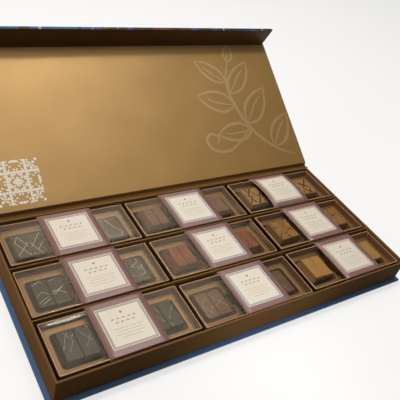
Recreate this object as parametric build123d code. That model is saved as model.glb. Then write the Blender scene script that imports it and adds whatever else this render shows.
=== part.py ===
from build123d import *
import math
import os

# Chocolate gift box: a book-style hinged case around a shallow tray with nine small cartons of pralines.
# Millimetres, +Z up. The origin is on the table, under the centre of the tray's footprint.
# -Y is the front, where the flap closes, and +Y is the back, where the lid is hinged.
# The lid stands open and the flap is folded towards the front, as the box is shown.

# Pralines: two bars side by side in each well, three wells in a carton, some kinds taller than the well
praline_width = 14.0
praline_length = 28.7
praline_height = 13.6
praline_extra_height = 5.3
praline_gap = 0.4
praline_edge_radius = 1.1
bars_per_well = 2
wells_per_carton = 3

# Insert: a thin formed tray with a well for each pair and a finger channel between wells
insert_sheet = 0.5
well_play_width = 6.6
well_play_length = 5.3
well_corner_radius = 3.5
well_ridge = 3.9
channel_width = 12.0
channel_depth = 5.0
flange_margin_side = 6.0
flange_margin_front = 7.2
insert_clearance = 0.1

# Carton and its clear lid
carton_wall = 0.75
carton_floor = 0.6
praline_head_room = 1.7
clear_sheet = 0.25
clear_lid_clearance = 0.1
clear_lid_skirt = 11.0

# Paper band around each carton
band_width = 53.3
band_paper = 0.3
band_front_gap = 0.4
band_spare_depth = 3.0
band_top_clearance = 0.1
band_corner_radius = 0.6

# Tray
columns = 3
rows = 3
column_play = 4.7
bay_spare_depth = 5.9
side_clearance = 0.35
seat_clearance = 0.2
rim_above_bands = 0.7
tray_board_thickness = 1.6
wrap_paper = 0.3
partition_thickness = 1.2
partition_drop = 0.8

# Book-style cover
cover_board = 2.0
flap_board_thickness = 2.5
cover_paper = 0.3
ledge = 4.0
turn_in = 15.0
lining_inset = 1.3
spine_drop = 1.7
lid_gap = 0.3
lid_rear_setback = 2.6
hinge_behind_spine = 0.15
hinge_below_rim = 0.3
flap_gap = 0.8
flap_foot_clearance = 0.3
flap_top_setback = 0.4
hinge_paper_clearance = 0.35

# Closure: discs in the flap and thin steel plates in the front wall
magnet_diameter = 10.0
magnet_thickness = 1.5
plate_width = 16.0
plate_height = 12.0
plate_thickness = 0.5
pocket_clearance = 0.05
magnet_place_shares = (-0.33, 0.0, 0.33)

# How the box stands
lid_open_angle = 148.0
flap_splay_angle = 8.5

# Where each carton and band has settled: shares of the free play, columns left to right
row_names = ("front", "middle", "back")
column_names = ("left", "centre", "right")
carton_side_shares = ((0.54, 0.23, 0.20), (0.26, 0.14, 0.31), (0.53, 0.37, 0.50))
carton_depth_shares = ((0.97, 0.28, 0.83), (0.90, 0.76, 0.97), (0.97, 0.95, 0.97))
band_side_shares = ((0.10, 0.20, 0.20), (0.14, 0.15, 0.12), (0.08, 0.11, -0.06))
praline_side_share = 0.6
praline_depth_share = 0.75

# How much of the extra height each kind of praline has, rows front to back and columns left to right
praline_extra_shares = ((0.62, 0, 1), (0, 1, 1), (0, 1, 1))

# Sizes that follow from those above
well_width = bars_per_well * praline_width + (bars_per_well - 1) * praline_gap + well_play_width
well_length = praline_length + well_play_length
flange_width = (wells_per_carton * well_width + (wells_per_carton - 1) * well_ridge
                + 2 * flange_margin_side)
flange_depth = well_length + 2 * flange_margin_front
flange_top = carton_floor + insert_sheet + praline_height
head_space = praline_extra_height + praline_head_room
carton_width = flange_width + 2 * (insert_clearance + carton_wall)
carton_depth = flange_depth + 2 * (insert_clearance + carton_wall)
carton_height = flange_top + head_space
unit_width = carton_width + 2 * (clear_lid_clearance + clear_sheet)
unit_depth = carton_depth + 2 * (clear_lid_clearance + clear_sheet)

carton_bottom = band_paper
band_depth = unit_depth + band_spare_depth
band_height = 2 * band_paper + carton_height + clear_sheet + band_top_clearance

cell_width = unit_width + column_play
bay_depth = unit_depth + bay_spare_depth
inner_width = columns * cell_width
inner_depth = rows * bay_depth + (rows - 1) * partition_thickness
tray_wall = tray_board_thickness + 2 * wrap_paper
tray_width = inner_width + 2 * tray_wall
tray_depth = inner_depth + 2 * tray_wall
tray_front = -tray_depth / 2
tray_back = tray_depth / 2
inner_left = -inner_width / 2
inner_front = -inner_depth / 2

ledge_top = 2 * cover_paper + cover_board
floor_top = ledge_top + tray_board_thickness + wrap_paper
unit_seat = floor_top + seat_clearance
rim_top = unit_seat + band_height + rim_above_bands
spine_top = rim_top - spine_drop
spine_back = tray_back + cover_board + cover_paper

cover_half_width = tray_width / 2 + ledge
base_front = tray_front - ledge

hinge_y = spine_back - hinge_behind_spine
hinge_z = rim_top - hinge_below_rim
lid_under = rim_top + lid_gap
lid_rear = tray_back - lid_rear_setback
flap_inner = tray_front - flap_gap
flap_thickness = flap_board_thickness + 2 * cover_paper
flap_outer = flap_inner - flap_thickness
flap_foot = ledge_top + flap_foot_clearance
flap_top = lid_under - flap_top_setback
lid_front = flap_inner + cover_paper
flap_hinge_y = flap_inner - flap_thickness / 3
flap_hinge_z = lid_under + cover_paper + cover_board / 3


def span(centre, width):
    """Low and high ends of a width about its centre."""
    return centre - width / 2, centre + width / 2


def span_up(low, height):
    """Low and high ends of a height above its low end."""
    return low, low + height


def block(x, y, z):
    """Solid box between the low and high ends given for each axis."""
    sizes = [high - low for low, high in (x, y, z)]
    middle = [(high + low) / 2 for low, high in (x, y, z)]
    return Pos(*middle) * Box(*sizes)


def rounded_block(x, y, z, radius):
    """Solid box with rounded upright edges."""
    solid = block(x, y, z)
    return fillet(solid.edges().filter_by(Axis.Z), radius)


def turned(point, centre, angle):
    """A point of the YZ plane turned about a centre, positive from +Y to +Z."""
    turn = math.radians(angle)
    y, z = point[0] - centre[0], point[1] - centre[1]
    return (centre[0] + y * math.cos(turn) - z * math.sin(turn),
            centre[1] + y * math.sin(turn) + z * math.cos(turn))


lid_hinge = (hinge_y, hinge_z)
flap_hinge = (flap_hinge_y, flap_hinge_z)
lid_axis = Axis((0, hinge_y, hinge_z), (1, 0, 0))
flap_axis = Axis((0, flap_hinge_y, flap_hinge_z), (1, 0, 0))


def opened(piece):
    """A piece of the closed lid, swung open about the lid's hinge."""
    return piece.rotate(lid_axis, -lid_open_angle)


def opened_flap(piece):
    """A piece of the closed flap, splayed a little and swung open with the lid."""
    return opened(piece.rotate(flap_axis, -flap_splay_angle))


def opened_point(point):
    return turned(point, lid_hinge, -lid_open_angle)


def splayed_point(point):
    return turned(point, flap_hinge, -flap_splay_angle)


def arc_sheet(start, middle, end, thickness, x):
    """A sheet along X whose section is an arc through three points of the YZ plane."""
    (ya, za), (yb, zb), (yc, zc) = start, middle, end
    twice_area = 2 * (ya * (zb - zc) + yb * (zc - za) + yc * (za - zb))
    sa, sb, sc = (ya * ya + za * za, yb * yb + zb * zb, yc * yc + zc * zc)
    cy = (sa * (zb - zc) + sb * (zc - za) + sc * (za - zb)) / twice_area
    cz = (sa * (yc - yb) + sb * (ya - yc) + sc * (yb - ya)) / twice_area
    radius = math.hypot(ya - cy, za - cz)

    def ring(side):
        scale = (radius + side * thickness / 2) / radius
        return [(x[0], cy + (y - cy) * scale, cz + (z - cz) * scale) for y, z in (start, middle, end)]

    outer, inner = ring(1), ring(-1)
    outline = Wire([
        Edge.make_three_point_arc(*outer),
        Edge.make_line(outer[2], inner[2]),
        Edge.make_three_point_arc(inner[2], inner[1], inner[0]),
        Edge.make_line(inner[0], outer[0]),
    ])
    return Solid.extrude(Face(outline), Vector(x[1] - x[0], 0, 0))


# Base and spine of the cover
def base_board():
    edge = cover_half_width - cover_paper
    return block((-edge, edge), (base_front + cover_paper, tray_back), (cover_paper, cover_paper + cover_board))


def spine_board():
    edge = cover_half_width - cover_paper
    return block((-edge, edge), (tray_back, tray_back + cover_board), (cover_paper, spine_top))


def base_cover_paper():
    """One printed sheet under the base and up the spine, turned in over the ledge."""
    edge = cover_half_width
    outside = block((-edge, edge), (base_front, tray_back), (0, ledge_top))
    outside -= base_board()
    outside -= block((-edge + turn_in, edge - turn_in), (base_front + turn_in, tray_back),
                     (cover_paper + cover_board, ledge_top))
    spine = block((-edge, edge), (tray_back, spine_back), (0, spine_top))
    return outside + (spine - spine_board())


# Tray
def tray_board():
    """Folded board: a floor and four walls, with shallow pockets for the closure plates."""
    outer = block(span(0, tray_width - 2 * wrap_paper), span(0, tray_depth - 2 * wrap_paper),
                  (ledge_top, rim_top - wrap_paper))
    hollow = block(span(0, inner_width + 2 * wrap_paper), span(0, inner_depth + 2 * wrap_paper),
                   (ledge_top + tray_board_thickness, rim_top))
    board = outer - hollow
    for place in closure_places():
        board -= closure_plate(place, pocket_clearance)
    return board


def tray_wrap():
    """Metallic paper over the outside, the rim, the inside and the floor of the tray."""
    outer = block(span(0, tray_width), span(0, tray_depth), (ledge_top, rim_top))
    board = block(span(0, tray_width - 2 * wrap_paper), span(0, tray_depth - 2 * wrap_paper),
                  (ledge_top, rim_top - wrap_paper))
    board -= block(span(0, inner_width + 2 * wrap_paper), span(0, inner_depth + 2 * wrap_paper),
                   (ledge_top + tray_board_thickness, rim_top))
    hollow = block(span(0, inner_width), span(0, inner_depth), (floor_top, rim_top))
    return outer - board - hollow


def closure_places():
    return [share * tray_width for share in magnet_place_shares]


def closure_height():
    return (flap_foot + flap_top) / 2


def closure_plate(place, clearance):
    face = tray_front + wrap_paper
    return block(span(place, plate_width + 2 * clearance), (face, face + plate_thickness + clearance),
                 span(closure_height(), plate_height + 2 * clearance))


def front_wall_plates():
    return [closure_plate(place, 0) for place in closure_places()]


def partitions():
    """Thin card strips that part the rows and stand between the side walls."""
    strips = []
    for row in range(1, rows):
        front = inner_front + row * bay_depth + (row - 1) * partition_thickness
        strips.append(block(span(0, inner_width), (front, front + partition_thickness),
                            (floor_top, rim_top - partition_drop)))
    return strips


# Lid and flap, drawn closed and then opened
def lid_board():
    edge = cover_half_width - cover_paper
    return block((-edge, edge), (lid_front + cover_paper, lid_rear), span_up(lid_under + cover_paper, cover_board))


def lid_lining():
    edge = cover_half_width - lining_inset
    return block((-edge, edge), (lid_front + lining_inset, lid_rear), span_up(lid_under, cover_paper))


def lid_cover_paper():
    """Printed paper over the lid's outside and edges, with a narrow margin left inside."""
    edge = cover_half_width
    top = lid_under + 2 * cover_paper + cover_board
    sheet = block((-edge, edge), (lid_front, lid_rear), (lid_under, top))
    inside = edge - lining_inset
    sheet -= block((-inside, inside), (lid_front + lining_inset, lid_rear), span_up(lid_under, cover_paper))
    return sheet - lid_board()


def flap_board():
    edge = cover_half_width - cover_paper
    board = block((-edge, edge), (flap_outer + cover_paper, flap_inner - cover_paper),
                  (flap_foot + cover_paper, flap_top))
    for place in closure_places():
        board -= closure_magnet(place, pocket_clearance)
    return board


def closure_magnet(place, clearance):
    depth = magnet_thickness + clearance
    disc = Cylinder(magnet_diameter / 2 + clearance, depth, rotation=(90, 0, 0))
    return Pos(place, flap_inner - cover_paper - depth / 2, closure_height()) * disc


def flap_magnets():
    return [closure_magnet(place, 0) for place in closure_places()]


def flap_lining():
    edge = cover_half_width - lining_inset
    return block((-edge, edge), (flap_inner - cover_paper, flap_inner), (flap_foot + lining_inset, flap_top))


def flap_cover_paper():
    edge = cover_half_width
    inside = edge - lining_inset
    sheet = block((-edge, edge), (flap_outer, flap_inner), (flap_foot, flap_top))
    sheet -= block((-inside, inside), (flap_inner - cover_paper, flap_inner),
                   (flap_foot + lining_inset, flap_top))
    board_edge = edge - cover_paper
    return sheet - block((-board_edge, board_edge), (flap_outer + cover_paper, flap_inner - cover_paper),
                         (flap_foot + cover_paper, flap_top))


def hinge_papers():
    """Bare paper across the two folds: outside and inside of the lid's hinge, and outside of the flap's."""
    edge = (-cover_half_width, cover_half_width)
    inside = (-cover_half_width + lining_inset, cover_half_width - lining_inset)
    half = cover_paper / 2
    clear = hinge_paper_clearance
    lid_outer_z = lid_under + 2 * cover_paper + cover_board - half

    spine_end = (spine_back - half, spine_top + clear)
    lid_end = opened_point((lid_rear + clear, lid_outer_z))
    sag = ((spine_end[0] + lid_end[0]) / 2, min(spine_end[1], lid_end[1]) - cover_paper)
    outside = arc_sheet(spine_end, sag, lid_end, cover_paper, edge)

    rim_end = (tray_back + clear + half, rim_top - cover_paper)
    lining_end = opened_point((lid_rear + clear, lid_under + half))
    dip = ((rim_end[0] + lining_end[0]) / 2, (rim_end[1] + spine_top) / 2 + half)
    lining = arc_sheet(rim_end, dip, lining_end, cover_paper, inside)

    lid_edge = (lid_front - clear, lid_outer_z)
    flap_edge = splayed_point((flap_outer + half, flap_top + clear))
    corner = (flap_edge[0] + cover_paper, lid_edge[1] - 2 * cover_paper)
    fold = opened(arc_sheet(lid_edge, corner, flap_edge, cover_paper, edge))
    return [outside, lining, fold]


# One small carton, drawn with its front left corner at the origin and its seat at zero height
def carton():
    gap = clear_lid_clearance + clear_sheet
    x = (gap, gap + carton_width)
    y = (gap, gap + carton_depth)
    box = block(x, y, span_up(carton_bottom, carton_height))
    hollow = block((x[0] + carton_wall, x[1] - carton_wall), (y[0] + carton_wall, y[1] - carton_wall),
                   (carton_bottom + carton_floor, carton_bottom + carton_height))
    return box - hollow


def well_centres():
    pitch = well_width + well_ridge
    first = unit_width / 2 - (wells_per_carton - 1) * pitch / 2
    return [first + number * pitch for number in range(wells_per_carton)]


def insert():
    """Formed sheet: a flange with three wells, and a shallow channel across each ridge."""
    top = carton_bottom + flange_top
    bottom = carton_bottom + carton_floor
    middle = unit_depth / 2
    shell = block(span(unit_width / 2, flange_width), span(middle, flange_depth), (top - insert_sheet, top))
    hollows = []
    for centre in well_centres():
        shell += rounded_block(span(centre, well_width + 2 * insert_sheet),
                               span(middle, well_length + 2 * insert_sheet), (bottom, top),
                               well_corner_radius + insert_sheet)
        hollows.append(rounded_block(span(centre, well_width), span(middle, well_length),
                                     (bottom + insert_sheet, top), well_corner_radius))
    for left, right in zip(well_centres(), well_centres()[1:]):
        shell += block((left, right), span(middle, channel_width + 2 * insert_sheet),
                       (top - channel_depth - insert_sheet, top))
        hollows.append(block((left, right), span(middle, channel_width), (top - channel_depth, top)))
    for hollow in hollows:
        shell -= hollow
    return shell


def pralines(extra_share):
    """Pairs of bars that stand in the wells, with softly rounded top edges."""
    bars = []
    height = praline_height + extra_share * praline_extra_height
    base = carton_bottom + carton_floor + insert_sheet
    back_play = praline_depth_share * well_play_length
    for centre in well_centres():
        left = centre - well_width / 2 + praline_side_share * well_play_width
        front = unit_depth / 2 - well_length / 2 + back_play
        for number in range(bars_per_well):
            start = left + number * (praline_width + praline_gap)
            bar = block((start, start + praline_width), (front, front + praline_length),
                        (base, base + height))
            upper_edges = bar.faces().sort_by(Axis.Z)[-1].edges()
            bars.append(fillet(upper_edges, praline_edge_radius))
    return bars


def clear_lid():
    """Clear folded sheet that drops over the carton, with a shallow skirt all round."""
    top = carton_bottom + carton_height + clear_sheet
    cap = block((0, unit_width), (0, unit_depth), (top - clear_lid_skirt, top))
    return cap - block((clear_sheet, unit_width - clear_sheet), (clear_sheet, unit_depth - clear_sheet),
                       (top - clear_lid_skirt, top - clear_sheet))


def band(row, column):
    """Closed paper loop around the carton, a little too deep for it."""
    free = (unit_width - band_width) / 2
    centre = unit_width / 2 + band_side_shares[row][column] * free
    front = -band_front_gap
    x = span(centre, band_width)
    loop = block(x, (front, front + band_depth), (0, band_height))
    hollow = block(x, (front + band_paper, front + band_depth - band_paper),
                   (band_paper, band_height - band_paper))
    loop = fillet(loop.edges().filter_by(Axis.X), band_corner_radius)
    hollow = fillet(hollow.edges().filter_by(Axis.X), band_corner_radius - band_paper)
    return loop - hollow


def unit_place(row, column):
    """Where a small carton stands in its cell of the tray."""
    side_room = cell_width - unit_width - side_clearance
    depth_room = bay_depth - band_depth - 2 * side_clearance
    cell = inner_left + column * cell_width
    bay = inner_front + row * (bay_depth + partition_thickness)
    x = cell + side_clearance + carton_side_shares[row][column] * side_room
    y = bay + side_clearance + band_front_gap + carton_depth_shares[row][column] * depth_room
    return Pos(x, y, unit_seat)


def write(name, shape):
    solids = shape if isinstance(shape, list) else shape.solids()
    result = solids[0] if len(solids) == 1 else Compound(children=list(solids))
    export_step(result, f"parts/{name}.step")


def main():
    os.makedirs("parts", exist_ok=True)
    fixed = (base_board, spine_board, base_cover_paper, tray_board, tray_wrap, partitions, front_wall_plates)
    for piece in fixed:
        write(piece.__name__, piece())
    for piece in (lid_board, lid_lining, lid_cover_paper):
        write(piece.__name__, opened(piece()))
    for piece in (flap_board, flap_lining, flap_cover_paper):
        write(piece.__name__, opened_flap(piece()))
    write("flap_magnets", [opened_flap(disc) for disc in flap_magnets()])
    write("hinge_papers", hinge_papers())

    box, tray, lid = carton(), insert(), clear_lid()
    for row, row_name in enumerate(row_names):
        for column, column_name in enumerate(column_names):
            place = unit_place(row, column)
            name = f"{row_name}_{column_name}"
            write(f"{name}_carton", place * box)
            write(f"{name}_insert", place * tray)
            write(f"{name}_clear_lid", place * lid)
            bars = pralines(praline_extra_shares[row][column])
            write(f"{name}_pralines", [place * bar for bar in bars])
            write(f"{name}_band", place * band(row, column))


main()
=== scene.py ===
# Gift box of pralines, lid open: a book-style case around a tray of nine small cartons.
# Lengths are millimetres in the part's own frame until a mesh is made.
import itertools
import math
import random

import bmesh
import bpy
from mathutils import Matrix, Vector, noise


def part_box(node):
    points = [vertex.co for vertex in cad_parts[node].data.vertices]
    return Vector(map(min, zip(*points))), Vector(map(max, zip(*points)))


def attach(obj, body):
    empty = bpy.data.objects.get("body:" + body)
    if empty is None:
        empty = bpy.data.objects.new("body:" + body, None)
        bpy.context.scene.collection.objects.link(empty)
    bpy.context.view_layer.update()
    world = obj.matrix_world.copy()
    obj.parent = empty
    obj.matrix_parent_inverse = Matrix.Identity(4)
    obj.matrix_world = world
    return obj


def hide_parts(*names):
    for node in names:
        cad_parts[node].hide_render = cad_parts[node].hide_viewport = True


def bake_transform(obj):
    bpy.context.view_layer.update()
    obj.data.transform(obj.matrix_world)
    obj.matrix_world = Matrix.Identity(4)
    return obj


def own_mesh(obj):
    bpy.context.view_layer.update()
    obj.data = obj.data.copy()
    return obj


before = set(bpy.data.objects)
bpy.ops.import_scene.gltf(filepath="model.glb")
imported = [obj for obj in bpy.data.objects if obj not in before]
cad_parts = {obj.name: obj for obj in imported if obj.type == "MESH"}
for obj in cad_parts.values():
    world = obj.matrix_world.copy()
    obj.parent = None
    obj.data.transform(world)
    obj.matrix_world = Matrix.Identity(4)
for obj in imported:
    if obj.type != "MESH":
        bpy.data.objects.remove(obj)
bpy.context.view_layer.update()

MM = 0.001

# The noise that makes the bars uneven would otherwise start from the clock
noise.seed_set(1)

# The open lid and the splayed flap, as turns of the closed ones about their hinges
LID_OPEN = 148.0
FLAP_SPLAY = 8.5
LID_HINGE = (90.6, 27.75)
FLAP_HINGE = (-90.2833, 29.3167)

# The closed case
COVER_HALF = 204.05
LEDGE_TOP = 2.6
BASE_FRONT = -92.45
TRAY_HALF = (200.05, 88.45)
TRAY_WALL = 2.2
FLOOR_TOP = 4.5
RIM_TOP = 28.05
SPINE_TOP = 26.35
SPINE_BACK = 90.75
LID_UNDER = 28.35
LID_TOP = 30.95
LID_REAR = 85.85
LID_FRONT = -88.95
FLAP_OUTER = -92.35
FLAP_INNER = -89.25
FLAP_FOOT = 2.9
FLAP_TOP = 27.95
LINING_INSET = 1.3
PAPER = 0.3

# A small carton and what is in it
CARTON_WALL = 0.75
FLANGE_TOP = 19.7
WELL_HALF = (17.5, 17.0)
WELL_PITCH = 38.9
WELL_CORNER = 3.5
CHANNEL_HALF = 6.0
CHANNEL_DEPTH = 5.0
CHANNEL_FILLET = 1.7
WELL_BOTTOM = 6.1
BAR_SIZE = (14.0, 28.7)
BAR_GAP = 0.4

# The label on a band: how far inside the band's edges, and how far in its frame's two inked lines run
LABEL_INSET = (5.8, 6.1)
LABEL_LINES = (0.0, 0.75, 1.3, 1.85, 2.4)
# A band that arches higher than this has to give way to the closing lid
HIGH_ARCH = 1.0

# Where each ink of the cover's printed patches starts, as a share of the patches
PATCH_INKS = ((0.0, "#16264E"), (0.2, "#2A57A0"), (0.42, "#101626"), (0.56, "#6E2420"), (0.7, "#2C5C94"),
              (0.84, "#151A24"), (0.9, "#B9AD90"), (0.94, "#4E1A1C"))

# Lamps: place, what they are aimed at, width and height, watts, colour, and whether they show in gloss
LAMPS = {
    "key_lamp": ((-250, 330, 1350), (-60, 60, 20), (110, 110), 7.2, "#FFF8EE", False),
    "ceiling_panel": ((80, 100, 1500), (80, 100, 0), (1500, 1300), 7.6, "#FCFCFF", True),
    "rear_panel": ((646, 1087, 1417), (-60, 0, 27), (1000, 670), 4.0, "#FFF4E4", True),
    "right_panel": ((800, -900, 700), (100, 0, 20), (600, 600), 0.12, "#FFE2BC", False),
    "left_panel": ((-1400, 150, 450), (0, 0, 20), (700, 500), 5.6, "#FFEBD0", False),
    "small_lamp": ((300, 400, 1400), (-60, 0, 20), (220, 130), 2.6, "#FFFFFF", True),
}

# The camera: its own right, up and back directions, where it stands, and its focal length, all from a
# program's fit to the photograph
CAMERA_AXES = ((0.82606, -0.50621, 0.24775), (0.15892, 0.63097, 0.75935), (-0.54071, -0.58790, 0.60167))
CAMERA_PLACE = (-309.4, -292.1, 394.65)
CAMERA_LENS = 50.06

# Sockets of a node that mixes two colours, by number, because it has several of each name
SHARE, FIRST, SECOND, MIXED = 0, 6, 7, 2

# Drizzled threads on the bars that the clear lids show, from the near left corner of each box's bars.
# Their points were read off the photograph, and a program turned them into millimetres on the
# bars through the fitted camera, to the nearest half millimetre.
DRIZZLE = {
    "front_left": (
        ((5.5, 28.0), (11.0, 17.0), (5.5, 7.5)), ((9.0, 26.0), (4.5, 18.0), (1.0, 10.5)),
        ((17.5, 26.0), (21.0, 19.0), (25.5, 11.5)), ((26.5, 19.5), (23.0, 13.5), (19.0, 7.5)),
        ((13.5, 23.0), (11.0, 20.0)), ((25.0, 28.0), (26.5, 24.0)), ((86.5, 24.5), (90.0, 17.5)),
        ((104.5, 21.0), (95.0, 9.0)), ((84.0, 16.5), (90.0, 8.0)), ((92.0, 6.0), (96.0, 1.0))),
    "middle_left": (
        ((1.0, 24.5), (8.5, 28.0), (10.5, 25.0)), ((15.5, 25.5), (23.5, 28.0)),
        ((1.0, 11.5), (7.0, 16.0), (12.5, 11.5)), ((1.0, 4.5), (11.0, 9.5)), ((3.5, 2.5), (12.5, 7.5)),
        ((13.5, 11.0), (23.0, 15.5), (26.5, 18.0)), ((16.0, 9.5), (26.0, 17.5)),
        ((14.5, 14.5), (20.0, 14.0), (27.5, 8.0)), ((101.0, 28.0), (101.5, 23.5), (93.5, 18.5)),
        ((96.5, 13.5), (104.0, 18.5), (102.5, 8.0)), ((90.0, 10.5), (91.5, 6.5)), ((95.5, 5.5), (103.0, 8.0)),
        ((92.0, 20.0), (96.5, 17.0), (101.0, 18.0)), ((104.0, 16.0), (99.0, 13.5))),
    "back_left": (
        ((7.0, 27.5), (2.0, 20.0), (12.5, 1.0)), ((7.0, 25.5), (13.0, 12.0)), ((14.0, 18.5), (1.5, 3.5)),
        ((27.0, 27.5), (17.5, 14.5), (14.5, 11.0)), ((14.5, 18.5), (20.0, 6.5), (22.5, 1.0)),
        ((27.0, 16.0), (20.0, 6.5)), ((14.0, 4.5), (15.5, 1.0)),
        ((93.5, 28.0), (98.5, 16.0), (105.0, 7.5), (101.0, 1.5)), ((90.5, 12.0), (87.5, 9.5), (92.0, 2.5))),
    "front_centre": (
        ((11.5, 22.5), (1.5, 15.5), (1.5, 11.0)), ((1.0, 14.5), (6.5, 6.0), (10.0, 1.0)),
        ((12.0, 11.5), (1.5, 1.0)), ((16.5, 22.0), (22.5, 13.5), (27.5, 4.5)),
        ((27.0, 17.5), (15.5, 10.5), (17.5, 4.0)), ((96.5, 19.5), (91.0, 13.5)), ((96.0, 8.0), (99.5, 1.0)),
        ((94.0, 10.0), (99.5, 6.5))),
    "middle_right": (
        ((17.0, 28.0), (17.5, 17.5), (25.0, 9.0)), ((23.0, 28.0), (17.5, 19.0)),
        ((27.5, 16.0), (17.5, 11.0), (9.0, 7.0)), ((10.5, 13.0), (1.0, 3.0)), ((1.0, 6.0), (3.0, 1.0)),
        ((11.5, 6.0), (14.5, 1.0)), ((3.0, 26.5), (3.5, 15.0)), ((1.0, 18.5), (8.5, 18.5)),
        ((22.0, 24.0), (27.5, 22.0)), ((92.0, 21.0), (96.5, 10.0)), ((89.5, 16.0), (99.5, 17.0)),
        ((97.0, 27.0), (101.5, 14.0), (105.0, 9.0))),
    "back_right": (
        ((15.0, 27.5), (6.5, 16.0), (6.0, 13.0)), ((11.0, 16.0), (3.0, 4.5), (2.5, 4.0)),
        ((2.5, 19.0), (5.0, 19.5)), ((2.5, 16.5), (3.0, 17.0)), ((4.5, 17.5), (7.5, 14.5)),
        ((15.0, 19.0), (19.5, 11.5)), ((8.5, 9.5), (9.5, 3.0)), ((26.0, 20.0), (18.5, 9.0), (13.5, 1.5)),
        ((13.5, 4.0), (11.5, 1.5)), ((25.5, 8.0), (21.0, 1.5)), ((26.0, 4.0), (24.0, 1.5)),
        ((26.0, 14.5), (22.5, 9.0)), ((7.0, 27.5), (9.0, 19.5)), ((102.5, 26.0), (94.5, 16.5), (90.0, 11.0)),
        ((86.5, 20.5), (93.5, 16.5), (100.5, 10.0)), ((89.5, 10.0), (92.0, 6.0), (97.5, 1.5)),
        ((100.5, 10.5), (95.5, 4.5), (93.5, 1.5)), ((86.5, 7.5), (86.5, 1.5))),
}


def box_mm(node):
    """Low and high corners of a CAD node, in millimetres."""
    low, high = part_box(node)
    return [v / MM for v in low], [v / MM for v in high]


# Colour and material helpers
def ink(code):
    """A colour written as sRGB hex, turned to linear light."""
    parts = [int(code[i:i + 2], 16) / 255 for i in (1, 3, 5)]
    return [p / 12.92 if p <= 0.04045 else ((p + 0.055) / 1.055) ** 2.4 for p in parts] + [1.0]


def per(size_mm):
    """Texture scale at which one cell of the pattern is this many millimetres."""
    return 1 / (size_mm * MM)


def new_finish(name):
    """An empty material and its node tree."""
    made = bpy.data.materials.new(name)
    made.use_nodes = True
    made.node_tree.nodes.clear()
    return made, made.node_tree


def add(tree, kind, inputs=None, **options):
    """A node with its options set, and each input given a value or joined to another node's socket."""
    made = tree.nodes.new(kind)
    for key, value in options.items():
        setattr(made, key, value)
    for key, value in (inputs or {}).items():
        if isinstance(value, bpy.types.NodeSocket):
            tree.links.new(value, made.inputs[key])
        else:
            made.inputs[key].default_value = value
    return made


# Mesh helpers
def piece(name, points, faces, finishes, which=None, crease=35.0, uv=None):
    """A mesh piece from points in millimetres; which gives each face's finish."""
    data = bpy.data.meshes.new(name)
    data.from_pydata([(x * MM, y * MM, z * MM) for x, y, z in points], [], faces)
    for made in finishes if isinstance(finishes, list) else [finishes]:
        data.materials.append(made)
    if which is not None:
        data.polygons.foreach_set("material_index", which)
    if uv is not None:
        layer = data.uv_layers.new(name="printed_sheet")
        for loop in data.loops:
            layer.data[loop.index].uv = uv[loop.vertex_index]
    work = bmesh.new()
    work.from_mesh(data)
    bmesh.ops.recalc_face_normals(work, faces=work.faces)
    work.to_mesh(data)
    work.free()
    data.polygons.foreach_set("use_smooth", [True] * len(data.polygons))
    data.set_sharp_from_angle(angle=math.radians(crease))
    data.update()
    made = bpy.data.objects.new(name, data)
    bpy.context.scene.collection.objects.link(made)
    return made


def joined(parts):
    """Points and faces of several meshes as one."""
    points, faces = [], []
    for p, f in parts:
        start = len(points)
        points += p
        faces += [[i + start for i in face] for face in f]
    return points, faces


def lofted(rings, first=False, last=False):
    """Points and faces of a skin through equal closed rings, its ends closed or not."""
    count = len(rings[0])
    points = [p for ring in rings for p in ring]
    faces = []
    for k in range(len(rings) - 1):
        for i in range(count):
            j = (i + 1) % count
            faces.append([k * count + i, k * count + j, (k + 1) * count + j, (k + 1) * count + i])
    if first:
        faces.append(list(range(count)))
    if last:
        faces.append([(len(rings) - 1) * count + i for i in range(count)])
    return points, faces


def sheet_faces(columns, rows):
    """Quads of a sheet whose points run down one column after another."""
    return [[i * rows + k, i * rows + k + 1, (i + 1) * rows + k + 1, (i + 1) * rows + k]
            for i in range(columns - 1) for k in range(rows - 1)]


def evenly(start, length, steps):
    """Values spaced evenly over a length, both ends among them."""
    return [start + length * k / steps for k in range(steps + 1)]


def swept(path, xs):
    """Points and faces of an open sheet: a path in the YZ plane drawn along X."""
    return [(x, y, z) for x in xs for y, z in path], sheet_faces(len(xs), len(path))


def arc(cx, cy, radius, start, end, steps):
    """Points of an arc between two angles in degrees."""
    return [(cx + radius * math.cos(math.radians(start + (end - start) * k / steps)),
             cy + radius * math.sin(math.radians(start + (end - start) * k / steps)))
            for k in range(steps + 1)]


def outline(x, y, radius, steps=4, side_steps=1):
    """A rounded rectangle as a ring of (x, y) points."""
    (x0, x1), (y0, y1) = x, y
    # A corner is never quite sharp, and never takes up a whole side
    radius = max(0.02, min(radius, (x1 - x0) / 2.01, (y1 - y0) / 2.01))
    corners = ((x1 - radius, y1 - radius, 0), (x0 + radius, y1 - radius, 90),
               (x0 + radius, y0 + radius, 180), (x1 - radius, y0 + radius, 270))
    ring = []
    for number, (cx, cy, start) in enumerate(corners):
        bend = arc(cx, cy, radius, start, start + 90, steps)
        ring += bend
        nx, ny, _ = corners[(number + 1) % 4]
        angle = math.radians(start + 90)
        far = (nx + radius * math.cos(angle), ny + radius * math.sin(angle))
        ring += [(bend[-1][0] + (far[0] - bend[-1][0]) * k / side_steps,
                  bend[-1][1] + (far[1] - bend[-1][1]) * k / side_steps) for k in range(1, side_steps)]
    return ring


def profile_rings(x, y, corner, profile, steps=4, side_steps=1):
    """Rings of a rounded rectangle, one for each (inset, height) of a profile."""
    rings = []
    for inset, z in profile:
        ring = outline((x[0] + inset, x[1] - inset), (y[0] + inset, y[1] - inset), corner - inset,
                       steps, side_steps)
        rings.append([(px, py, z) for px, py in ring])
    return rings


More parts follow.
